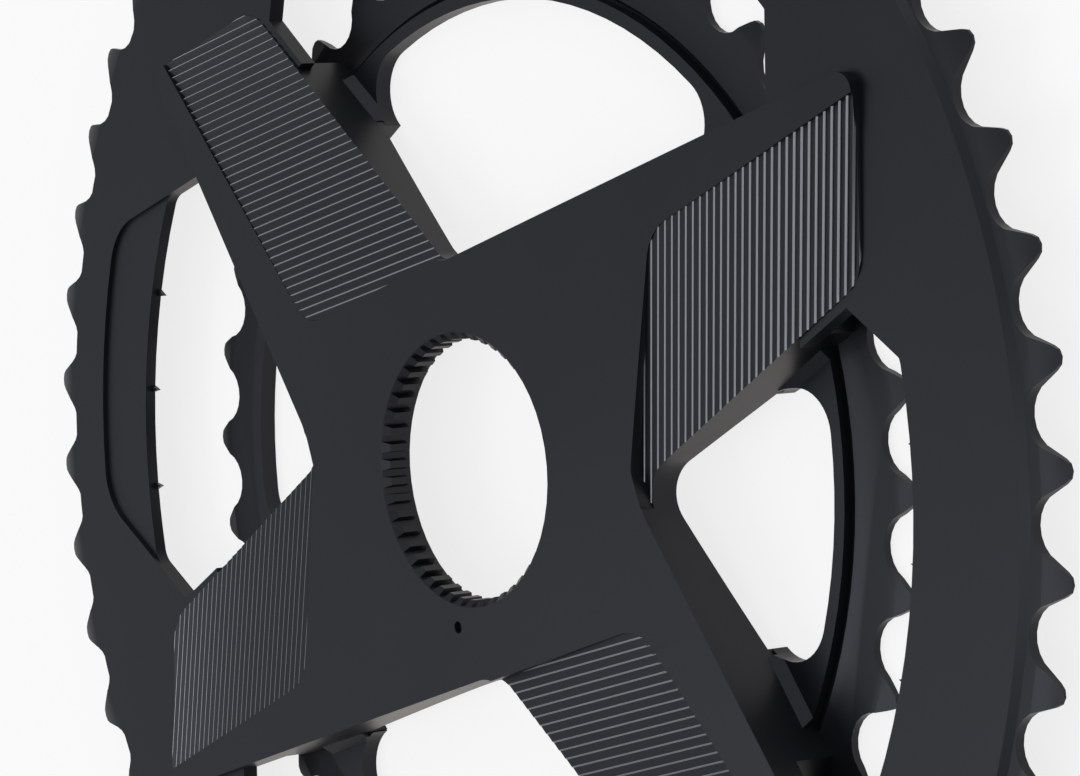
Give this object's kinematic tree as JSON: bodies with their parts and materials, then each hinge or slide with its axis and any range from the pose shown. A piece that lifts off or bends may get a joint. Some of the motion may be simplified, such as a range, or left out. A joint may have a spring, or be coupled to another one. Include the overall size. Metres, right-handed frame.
{
  "type": "bicycle chainring",
  "caption": "Large and small toothed rings machined in one piece with a dished splined spider, fine flutes on its sloping arm facets.",
  "frame": {"origin": "on the bore axis, level with the small ring's back face, the lowest point of the part", "axes": "+Z along the bore axis, out of the outer face; +Y up the picture, through the wide gap between the two upper arms; +X to the right when the outer face is seen"},
  "size_m": [0.2126, 0.2126, 0.0125],
  "materials": {
    "anodised_aluminium": "black anodised, fine satin"
  },
  "bodies": {
    "root": {"double_chainring": "anodised_aluminium"}
  },
  "joints": []
}
